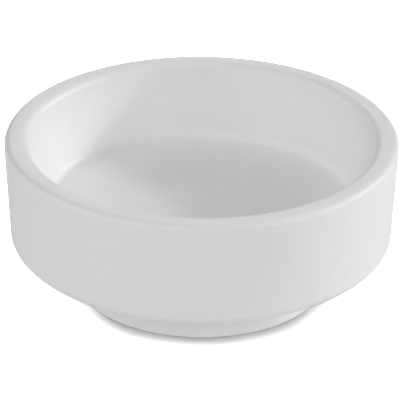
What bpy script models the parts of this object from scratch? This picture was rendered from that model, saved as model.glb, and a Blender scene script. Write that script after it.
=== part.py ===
"""Low, straight-walled evaporating dish with a thick flat rim and a foot ring.

The dish is one solid of revolution about +Z.  It stands on Z = 0 with its
axis through the origin, and all sizes are in metres.  The section is drawn
as a chain of sharp corners, each with its own edge radius, and is then
turned once round the axis.
"""
import math

import bpy
import bmesh
from mathutils import Vector

# ---- driving dimensions (metres) -------------------------------------------
RIM_RADIUS = 0.0400          # outside radius at the rim, the widest place
HEIGHT = 0.0326              # foot to rim
WALL_BASE_RADIUS = 0.0388    # outside radius where the wall meets the underside
UNDERSIDE_Z = 0.00975        # height of the underside that overhangs the foot
FOOT_RADIUS = 0.0255         # outside radius of the foot where it stands
FOOT_NECK_RADIUS = 0.0258    # outside radius of the foot at the underside
FOOT_BORE_RADIUS = 0.0210    # inside radius of the foot ring where it stands
RECESS_RADIUS = 0.0204       # inside radius of the foot ring at the recess's roof
RECESS_DEPTH = 0.0095        # the hollow under the dish, inside the foot ring
BORE_RIM_RADIUS = 0.0353     # inside radius, wall line carried up to the rim
FLOOR_RADIUS = 0.0315        # inside radius, wall line carried down to the floor
FLOOR_Z = 0.01725            # height of the flat inside floor

# ---- edge radii (metres) -----------------------------------------------------
RIM_OUTER_EDGE = 0.0014
RIM_INNER_EDGE = 0.0019
WALL_BASE_EDGE = 0.0026
NECK_FILLET = 0.0020
FOOT_EDGE = 0.0007
RECESS_EDGE = 0.0007
RECESS_FILLET = 0.0020
FLOOR_FILLET = 0.0020

SEGMENTS = 80                # flats round the circumference
ARC_STEP = math.radians(23)  # largest turn between two points of an edge radius
NODE = "dish_body"


def clear_scene():
    for ob in list(bpy.data.objects):
        bpy.data.objects.remove(ob, do_unlink=True)


def round_corner(before, corner, after, radius):
    """Points of the arc that rounds one corner, tangent to both its sides."""
    u = (Vector(before) - Vector(corner)).normalized()
    v = (Vector(after) - Vector(corner)).normalized()
    half = u.angle(v) / 2.0
    setback = radius / math.tan(half)
    centre = Vector(corner) + (u + v).normalized() * (radius / math.sin(half))
    start = Vector(corner) + u * setback - centre
    end = Vector(corner) + v * setback - centre
    turn = start.angle(end)
    steps = max(2, math.ceil(turn / ARC_STEP))
    side = start.x * end.y - start.y * end.x
    points = []
    for i in range(steps + 1):
        a = math.copysign(turn, side) * i / steps
        points.append(centre + Vector((start.x * math.cos(a) - start.y * math.sin(a),
                                       start.x * math.sin(a) + start.y * math.cos(a))))
    return points


def section():
    """Half section in the XZ plane, from the axis over the rim to the axis again.

    It starts in the middle of the inside floor, climbs the inside wall, crosses
    the rim, runs down the outside, goes round the foot ring and ends in the
    middle of the hollow under the dish.
    """
    # the outside wall leans out towards the rim, so its rounded rim edge stops
    # short of the sharp corner: set the corner out until the edge reaches the
    # rim radius
    rim_corner = RIM_RADIUS
    for _ in range(4):
        lean = math.atan2(rim_corner - WALL_BASE_RADIUS, HEIGHT - UNDERSIDE_Z)
        rim_corner = RIM_RADIUS + RIM_OUTER_EDGE * (math.tan(lean) + 1.0 / math.cos(lean) - 1.0)
    corners = [
        ((0.0, FLOOR_Z), 0.0),
        ((FLOOR_RADIUS, FLOOR_Z), FLOOR_FILLET),
        ((BORE_RIM_RADIUS, HEIGHT), RIM_INNER_EDGE),
        ((rim_corner, HEIGHT), RIM_OUTER_EDGE),
        ((WALL_BASE_RADIUS, UNDERSIDE_Z), WALL_BASE_EDGE),
        ((FOOT_NECK_RADIUS, UNDERSIDE_Z), NECK_FILLET),
        ((FOOT_RADIUS, 0.0), FOOT_EDGE),
        ((FOOT_BORE_RADIUS, 0.0), RECESS_EDGE),
        ((RECESS_RADIUS, RECESS_DEPTH), RECESS_FILLET),
        ((0.0, RECESS_DEPTH), 0.0),
    ]
    points = []
    for i, (corner, radius) in enumerate(corners):
        if radius == 0.0:
            points.append(Vector(corner))
        else:
            points += round_corner(corners[i - 1][0], corner, corners[i + 1][0], radius)
    return points


def make_material():
    mat = bpy.data.materials.new("white_ceramic")
    mat.use_nodes = True
    bsdf = mat.node_tree.nodes["Principled BSDF"]
    bsdf.inputs["Base Color"].default_value = (0.83, 0.83, 0.82, 1.0)
    bsdf.inputs["Roughness"].default_value = 0.45
    bsdf.inputs["Metallic"].default_value = 0.0
    mat.diffuse_color = (0.83, 0.83, 0.82, 1.0)
    return mat


def turn(name, points, material):
    """Turn a half section once round Z into one closed, outward-facing solid."""
    mesh = bpy.data.meshes.new(name)
    bm = bmesh.new()
    verts = [bm.verts.new((p.x, 0.0, p.y)) for p in points]
    edges = [bm.edges.new((a, b)) for a, b in zip(verts, verts[1:])]
    bmesh.ops.spin(bm, geom=verts + edges, cent=(0, 0, 0), axis=(0, 0, 1),
                   angle=2.0 * math.pi, steps=SEGMENTS, use_merge=True)
    bmesh.ops.remove_doubles(bm, verts=bm.verts, dist=1e-7)
    bmesh.ops.recalc_face_normals(bm, faces=bm.faces)
    bm.to_mesh(mesh)
    bm.free()
    mesh.materials.append(material)
    mesh.shade_smooth()
    mesh.set_sharp_from_angle(angle=math.radians(40))
    ob = bpy.data.objects.new(name, mesh)
    bpy.context.scene.collection.objects.link(ob)
    return ob


def build():
    clear_scene()
    turn(NODE, section(), make_material())


build()
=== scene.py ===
"""Looks of the low white evaporating dish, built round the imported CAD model."""
import math

import bpy
import numpy as np
from mathutils import Matrix, Vector


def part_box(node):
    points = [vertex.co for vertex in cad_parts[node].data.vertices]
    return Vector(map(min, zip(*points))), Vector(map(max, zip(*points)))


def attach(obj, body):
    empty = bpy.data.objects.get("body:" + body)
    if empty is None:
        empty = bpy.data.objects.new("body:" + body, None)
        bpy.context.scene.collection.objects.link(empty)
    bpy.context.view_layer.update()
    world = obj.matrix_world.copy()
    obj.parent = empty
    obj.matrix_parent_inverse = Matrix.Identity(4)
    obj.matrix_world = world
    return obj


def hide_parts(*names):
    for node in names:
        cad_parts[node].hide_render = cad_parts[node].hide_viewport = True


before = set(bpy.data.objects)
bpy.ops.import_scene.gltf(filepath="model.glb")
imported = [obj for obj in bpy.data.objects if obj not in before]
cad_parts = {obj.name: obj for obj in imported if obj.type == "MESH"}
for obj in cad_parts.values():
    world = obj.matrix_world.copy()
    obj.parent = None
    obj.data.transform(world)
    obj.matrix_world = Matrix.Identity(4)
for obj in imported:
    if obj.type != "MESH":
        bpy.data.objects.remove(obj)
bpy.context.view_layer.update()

LOW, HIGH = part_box("dish_body")
AXIS = Vector(((LOW.x + HIGH.x) / 2, (LOW.y + HIGH.y) / 2, LOW.z))
RIM_RADIUS = ((HIGH.x - LOW.x) + (HIGH.y - LOW.y)) / 4
HEIGHT = HIGH.z - LOW.z

# ---- the section, as in the CAD part (metres) --------------------------------
WALL_BASE_RADIUS = 0.0388
UNDERSIDE_Z = 0.00975
FOOT_RADIUS = 0.0255
FOOT_NECK_RADIUS = 0.0258
FOOT_BORE_RADIUS = 0.0210
RECESS_RADIUS = 0.0204
RECESS_DEPTH = 0.0095
BORE_RIM_RADIUS = 0.0353
FLOOR_RADIUS = 0.0315
FLOOR_Z = 0.01725
RIM_OUTER_EDGE = 0.0014
RIM_INNER_EDGE = 0.0019
WALL_BASE_EDGE = 0.0026
NECK_FILLET = 0.0020
FOOT_EDGE = 0.0007
RECESS_EDGE = 0.0007
RECESS_FILLET = 0.0020
FLOOR_FILLET = 0.0020

SEGMENTS = 400                 # round the circumference
ARC_STEP = math.radians(9)     # turn between two rows of an edge radius
ROW_STEP = 0.0011              # longest straight stretch between two rows

# ---- light ---------------------------------------------------------------------
# Azimuth 0 is +X and 90 is +Y; energies are in units of pi watts per square metre.
LAMPS = {                      # azimuth, elevation, angular size, energy
    "key_near": (16.0, 20.5, 5.0, 0.125),
    "key_middle": (20.0, 20.0, 4.0, 0.195),
    "key_far": (28.0, 20.0, 4.0, 0.115),
    "right_low": (0.0, 20.0, 28.0, 0.100),
    "front_right_low": (315.0, 20.0, 28.0, 0.182),
    "front_high": (270.0, 42.0, 28.0, 0.200),
    "front_left_low": (225.0, 20.0, 28.0, 0.102),
    "left_low": (180.0, 20.0, 28.0, 0.158),
    "left_top": (180.0, 65.0, 28.0, 0.167),
    "back_low": (90.0, 20.0, 28.0, 0.070),
    "back_high": (90.0, 42.0, 28.0, 0.035),
}
AMBIENT = 0.08                 # radiance of the dim room round the lamps
TABLE_GLOW = 0.698             # radiance of the bright table under the dish
TABLE_LAMPS = {"count": 10, "elevation": 44.0, "angle": 20.0, "energy": 2.25}   # the ring that lights the table top
TABLE_SIDE_LAMPS = {           # reach in beside the foot: azimuth, elevation, angular size, energy
    "left": (153.0, 29.0, 9.0, 2.9),
    "right": (32.0, 28.0, 9.0, 1.5),
}


# ---- geometry ----------------------------------------------------------------
def round_corner(before, corner, after, radius):
    """Points of the arc that rounds one corner, tangent to both its sides."""
    u = (Vector(before) - Vector(corner)).normalized()
    v = (Vector(after) - Vector(corner)).normalized()
    half = u.angle(v) / 2.0
    setback = radius / math.tan(half)
    centre = Vector(corner) + (u + v).normalized() * (radius / math.sin(half))
    start = Vector(corner) + u * setback - centre
    end = Vector(corner) + v * setback - centre
    turn = start.angle(end)
    steps = max(4, math.ceil(turn / ARC_STEP))
    side = start.x * end.y - start.y * end.x
    points = []
    for i in range(steps + 1):
        a = math.copysign(turn, side) * i / steps
        points.append(centre + Vector((start.x * math.cos(a) - start.y * math.sin(a),
                                       start.x * math.sin(a) + start.y * math.cos(a))))
    return points


def section():
    """Half section from the middle of the inside floor over the rim to the middle of the hollow foot."""
    rim_corner = RIM_RADIUS
    for _ in range(4):
        lean = math.atan2(rim_corner - WALL_BASE_RADIUS, HEIGHT - UNDERSIDE_Z)
        rim_corner = RIM_RADIUS + RIM_OUTER_EDGE * (math.tan(lean) + 1.0 / math.cos(lean) - 1.0)
    corners = [
        ((0.0, FLOOR_Z), 0.0),
        ((FLOOR_RADIUS, FLOOR_Z), FLOOR_FILLET),
        ((BORE_RIM_RADIUS, HEIGHT), RIM_INNER_EDGE),
        ((rim_corner, HEIGHT), RIM_OUTER_EDGE),
        ((WALL_BASE_RADIUS, UNDERSIDE_Z), WALL_BASE_EDGE),
        ((FOOT_NECK_RADIUS, UNDERSIDE_Z), NECK_FILLET),
        ((FOOT_RADIUS, 0.0), FOOT_EDGE),
        ((FOOT_BORE_RADIUS, 0.0), RECESS_EDGE),
        ((RECESS_RADIUS, RECESS_DEPTH), RECESS_FILLET),
        ((0.0, RECESS_DEPTH), 0.0),
    ]
    chain = []
    for i, (corner, radius) in enumerate(corners):
        if radius == 0.0:
            chain.append(Vector(corner))
        else:
            chain += round_corner(corners[i - 1][0], corner, corners[i + 1][0], radius)
    rows = [chain[0]]
    for a, b in zip(chain, chain[1:]):
        n = max(1, math.ceil((b - a).length / ROW_STEP))
        rows += [a.lerp(b, k / n) for k in range(1, n + 1)]
    return rows


def wave(angle, phases):
    """A slow wave round the circumference, from -1 to 1."""
    total = sum(w for _, w, _ in phases)
    return sum(w * np.cos(n * angle + p) for n, w, p in phases) / total


def lathe(name):
    """The dish as one closed surface of revolution, with the small unevenness of a formed and fired wall."""
    rows = section()
    ang = np.arange(SEGMENTS) * 2 * math.pi / SEGMENTS
    out_of_round = wave(ang, ((2, 1.0, 0.7), (3, 0.6, 2.1), (5, 0.3, 4.0)))
    rim_wave = wave(ang, ((2, 1.0, 1.9), (3, 0.7, 0.4), (7, 0.3, 3.3)))
    verts, first = [], []
    for i, p in enumerate(rows):
        if p.x < 1e-9:
            first.append((len(verts), 1))
            verts.append((AXIS.x, AXIS.y, AXIS.z + p.y))
            continue
        up = min(max((p.y - UNDERSIDE_Z) / (HEIGHT - UNDERSIDE_Z), 0.0), 1.0)
        r = p.x - up * p.x / RIM_RADIUS * 0.00001 * (1.0 + out_of_round)
        z = p.y - up ** 2 * 0.00001 * (1.0 + rim_wave)
        first.append((len(verts), SEGMENTS))
        verts += list(zip(AXIS.x + r * np.cos(ang), AXIS.y + r * np.sin(ang), AXIS.z + z + np.zeros(SEGMENTS)))
    faces = []
    for (a, na), (b, nb) in zip(first, first[1:]):
        for k in range(SEGMENTS):
            m = (k + 1) % SEGMENTS
            if na == 1:
                faces.append((a, b + k, b + m))
            elif nb == 1:
                faces.append((a + k, b, a + m))
            else:
                faces.append((a + k, b + k, b + m, a + m))
    mesh = bpy.data.meshes.new(name)
    mesh.from_pydata([tuple(map(float, v)) for v in verts], [], faces)
    mesh.validate()
    mesh.shade_smooth()
    ob = bpy.data.objects.new(name, mesh)
    bpy.context.scene.collection.objects.link(ob)
    return ob


# ---- materials -----------------------------------------------------------------
class Nodes:
    """Short hand for building a node tree."""

    def __init__(self, tree):
        self.tree = tree

    def new(self, kind, **values):
        node = self.tree.nodes.new(kind)
        for key, value in values.items():
            setattr(node, key, value)
        return node

    def feed(self, socket, value):
        if isinstance(value, bpy.types.NodeSocket):
            self.tree.links.new(value, socket)
        else:
            socket.default_value = value

    def math(self, op, a, b=0.0, c=0.0):
        node = self.new("ShaderNodeMath", operation=op)
        for socket, value in zip(node.inputs, (a, b, c)):
            self.feed(socket, value)
        return node.outputs[0]

    def span(self, value, low, high, to_low=0.0, to_high=1.0, smooth=True):
        node = self.new("ShaderNodeMapRange", interpolation_type="SMOOTHSTEP" if smooth else "LINEAR")
        for key, v in (("Value", value), ("From Min", low), ("From Max", high), ("To Min", to_low), ("To Max", to_high)):
            self.feed(node.inputs[key], v)
        return node.outputs["Result"]

    def noise(self, vector, scale, detail=2.0, rough=0.5):
        node = self.new("ShaderNodeTexNoise")
        self.feed(node.inputs["Vector"], vector)
        self.feed(node.inputs["Scale"], scale)
        self.feed(node.inputs["Detail"], detail)
        self.feed(node.inputs["Roughness"], rough)
        return node.outputs["Fac"]

    def mix_colour(self, factor, a, b):
        node = self.new("ShaderNodeMix", data_type="RGBA")
        self.feed(node.inputs[0], factor)
        self.feed(node.inputs[6], a)
        self.feed(node.inputs[7], b)
        return node.outputs[2]


def ceramic():
    """Satin white body: fine grain, faint turning rings, a few pinholes, a barer and rougher foot ring."""
    mat = bpy.data.materials.new("white_ceramic_satin")
    mat.use_nodes = True
    n = Nodes(mat.node_tree)
    bsdf = mat.node_tree.nodes["Principled BSDF"]
    place = n.new("ShaderNodeTexCoord").outputs["Object"]
    xyz = n.new("ShaderNodeSeparateXYZ")
    n.feed(xyz.inputs[0], place)
    x, y, z = xyz.outputs
    radius = n.math("SQRT", n.math("ADD", n.math("MULTIPLY", x, x), n.math("MULTIPLY", y, y)))

    cloud = n.noise(place, 55.0, 3.0)
    mottle = n.noise(place, 320.0, 3.0)
    grain = n.noise(place, 2600.0, 2.0)

    # pinholes and iron specks: one cell in a few holds a small dot
    cell = n.new("ShaderNodeTexVoronoi", feature="F1")
    n.feed(cell.inputs["Vector"], place)
    n.feed(cell.inputs["Scale"], 260.0)
    pick = n.new("ShaderNodeSeparateColor")
    n.feed(pick.inputs[0], cell.outputs["Color"])
    chosen = n.math("GREATER_THAN", pick.outputs[0], 0.86)
    dot = n.math("MULTIPLY", n.span(cell.outputs["Distance"], 0.022, 0.042, 1.0, 0.0), chosen)

    # the ring it stands on is bare
    bare = n.math("MULTIPLY", n.span(z, 0.00012, 0.00045, 1.0, 0.0), n.span(radius, 0.0195, 0.0205))

    tone = n.math("ADD", n.math("MULTIPLY", cloud, 0.55), n.math("MULTIPLY", mottle, 0.45))
    colour = n.mix_colour(n.span(tone, 0.36, 0.64), (0.841, 0.842, 0.831, 1.0), (0.858, 0.859, 0.848, 1.0))
    colour = n.mix_colour(n.math("MULTIPLY", dot, 0.30), colour, (0.52, 0.50, 0.46, 1.0))
    colour = n.mix_colour(n.math("MULTIPLY", bare, 0.8), colour,
                          n.mix_colour(grain, (0.74, 0.73, 0.70, 1.0), (0.82, 0.81, 0.785, 1.0)))
    n.feed(bsdf.inputs["Base Color"], colour)

    rough = n.math("ADD", n.span(mottle, 0.3, 0.7, 0.44, 0.54, smooth=False), n.math("MULTIPLY", n.math("SUBTRACT", grain, 0.5), 0.08))
    rough = n.math("ADD", rough, n.math("MULTIPLY", bare, 0.25))
    n.feed(bsdf.inputs["Roughness"], rough)

    # height in metres: slow unevenness, turning rings and grain
    drift = n.math("MULTIPLY", n.noise(place, 90.0, 2.0), 0.0011)
    along = n.math("ADD", n.math("ADD", radius, n.math("MULTIPLY", z, 0.9)), drift)
    rings = n.math("SINE", n.math("MULTIPLY", along, 2 * math.pi / 0.00085))
    rings = n.math("MULTIPLY", rings, n.span(n.noise(place, 130.0, 2.0), 0.42, 0.66))
    height = n.math("MULTIPLY", n.noise(place, 210.0, 2.0), 0.000030)
    height = n.math("ADD", height, n.math("MULTIPLY", rings, 0.0000011))
    height = n.math("ADD", height, n.math("MULTIPLY", grain, 0.0000035))
    height = n.math("SUBTRACT", height, n.math("MULTIPLY", dot, 0.000012))
    height = n.math("ADD", height, n.math("MULTIPLY", n.math("MULTIPLY", bare, n.noise(place, 1500.0, 3.0)), 0.000020))
    bump = n.new("ShaderNodeBump")
    n.feed(bump.inputs["Height"], height)
    n.feed(bump.inputs["Distance"], 1.0)
    n.feed(bump.inputs["Strength"], 1.0)
    n.feed(bsdf.inputs["Normal"], bump.outputs["Normal"])

    bsdf.inputs["IOR"].default_value = 1.5
    bsdf.inputs["Metallic"].default_value = 0.0
    mat.diffuse_color = (0.84, 0.84, 0.83, 1.0)
    return mat


dish = lathe("dish_ceramic")
dish.data.materials.append(ceramic())
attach(dish, "root")
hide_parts("dish_body")


# ---- stage: a bright table and a white backdrop -----------------------------------
def stage_mesh(name, verts, faces):
    mesh = bpy.data.meshes.new(name)
    mesh.from_pydata(verts, [], faces)
    ob = bpy.data.objects.new(name, mesh)
    bpy.context.scene.collection.objects.link(ob)
    return ob


def disc(name, radius, z):
    rim = [(radius * math.cos(a), radius * math.sin(a), z) for a in np.arange(64) * math.pi / 32]
    return stage_mesh(name, rim, [tuple(range(64))])


def emission_material(name, strength):
    mat = bpy.data.materials.new(name)
    mat.use_nodes = True
    mat.node_tree.nodes.clear()
    n = Nodes(mat.node_tree)
    glow = n.new("ShaderNodeEmission")
    glow.inputs["Strength"].default_value = strength
    out = n.new("ShaderNodeOutputMaterial")
    n.feed(out.inputs[0], glow.outputs[0])
    return mat


FLOOR_Z_WORLD = LOW.z - 0.00002

table_top = disc("studio_floor", 3.0, FLOOR_Z_WORLD)
top = bpy.data.materials.new("studio_white")
top.use_nodes = True
top_bsdf = top.node_tree.nodes["Principled BSDF"]
top_bsdf.inputs["Base Color"].default_value = (0.36, 0.36, 0.36, 1.0)
top_bsdf.inputs["Roughness"].default_value = 1.0
top_bsdf.inputs["Specular IOR Level"].default_value = 0.0
table_top.data.materials.append(top)
table_top.visible_diffuse = False
table_top.visible_glossy = False

table_glow = disc("studio_floor_glow", 3.0, FLOOR_Z_WORLD - 0.00002)
table_glow.data.materials.append(emission_material("studio_glow", TABLE_GLOW))
table_glow.visible_camera = False

bpy.ops.mesh.primitive_uv_sphere_add(segments=64, ring_count=32, radius=3.0)
backdrop = bpy.context.object
backdrop.name = "studio_backdrop"
backdrop.data.materials.append(emission_material("studio_backdrop_white", 1.05))
backdrop.visible_diffuse = False
backdrop.visible_glossy = False
backdrop.visible_transmission = False
backdrop.visible_shadow = False


# ---- light -----------------------------------------------------------------------
def sun(name, azimuth, elevation, angle, energy, only=None):
    """A soft distant lamp."""
    az, el = math.radians(azimuth), math.radians(elevation)
    lamp = bpy.data.lights.new(name, "SUN")
    lamp.energy = energy * math.pi
    lamp.angle = math.radians(angle)
    ob = bpy.data.objects.new(name, lamp)
    to_lamp = Vector((math.cos(az) * math.cos(el), math.sin(az) * math.cos(el), math.sin(el)))
    ob.rotation_euler = to_lamp.to_track_quat("Z", "Y").to_euler()
    bpy.context.scene.collection.objects.link(ob)
    if only is not None:
        ob.light_linking.receiver_collection = only
    return ob


for lamp_name, (azimuth, elevation, angle, energy) in LAMPS.items():
    sun(lamp_name, azimuth, elevation, angle, energy)

# lamps round the room that light only the table top, so that it is white up to the foot
table_only = bpy.data.collections.new("table_only")
table_only.objects.link(table_top)
for k in range(TABLE_LAMPS["count"]):
    sun(f"table_lamp_{k}", 360.0 * k / TABLE_LAMPS["count"], TABLE_LAMPS["elevation"], TABLE_LAMPS["angle"],
        TABLE_LAMPS["energy"], table_only)
for side, (azimuth, elevation, angle, energy) in TABLE_SIDE_LAMPS.items():
    sun(f"table_side_lamp_{side}", azimuth, elevation, angle, energy, table_only)

world = bpy.data.worlds.new("studio")
bpy.context.scene.world = world
world.use_nodes = True
room = world.node_tree.nodes["Background"]
room.inputs["Color"].default_value = (1.0, 1.0, 1.0, 1.0)
room.inputs["Strength"].default_value = AMBIENT

# ---- camera ------------------------------------------------------------------------
TILT = math.radians(25.83)      # how far above the rim's plane it looks from, seen from the rim's centre
DISTANCE = 20 * 0.04            # from the rim's centre, metres
FOCAL = 3955.5                 # in widths of a picture element
RIM_AT = (201.18, 136.48)       # where the rim's centre falls in a 400 by 400 picture
ROLL = 0.0092

rim_centre = AXIS + Vector((0, 0, HEIGHT))
place = rim_centre + DISTANCE * Vector((0, -math.cos(TILT), math.sin(TILT)))
ray = np.array([(RIM_AT[0] - 200) / FOCAL, (RIM_AT[1] - 200) / FOCAL, 1.0])
ray /= np.linalg.norm(ray)
pitch = math.asin(math.sin(TILT) / math.hypot(ray[1], ray[2])) - math.atan2(ray[1], ray[2])
yaw = math.atan2(ray[0], ray[2] * math.cos(pitch) - ray[1] * math.sin(pitch))
spin = Matrix.Rotation(yaw, 3, "Z")
right = spin @ Vector((1, 0, 0))
ahead = spin @ Vector((0, math.cos(pitch), -math.sin(pitch)))
down = spin @ Vector((0, -math.sin(pitch), -math.cos(pitch)))
right, down = math.cos(ROLL) * right - math.sin(ROLL) * down, math.sin(ROLL) * right + math.cos(ROLL) * down
lens = bpy.data.cameras.new("camera")
lens.sensor_width = 36.0
lens.lens = FOCAL / 400 * 36.0
lens.clip_start, lens.clip_end = 0.05, 10.0
camera = bpy.data.objects.new("camera", lens)
camera.matrix_world = Matrix(((right.x, -down.x, -ahead.x, place.x),
                              (right.y, -down.y, -ahead.y, place.y),
                              (right.z, -down.z, -ahead.z, place.z),
                              (0, 0, 0, 1)))
bpy.context.scene.collection.objects.link(camera)
bpy.context.scene.camera = camera
bpy.context.scene.view_settings.view_transform = "Standard"

# ---- bring the scene up to date ------------------------------------------------------
bpy.context.view_layer.update()
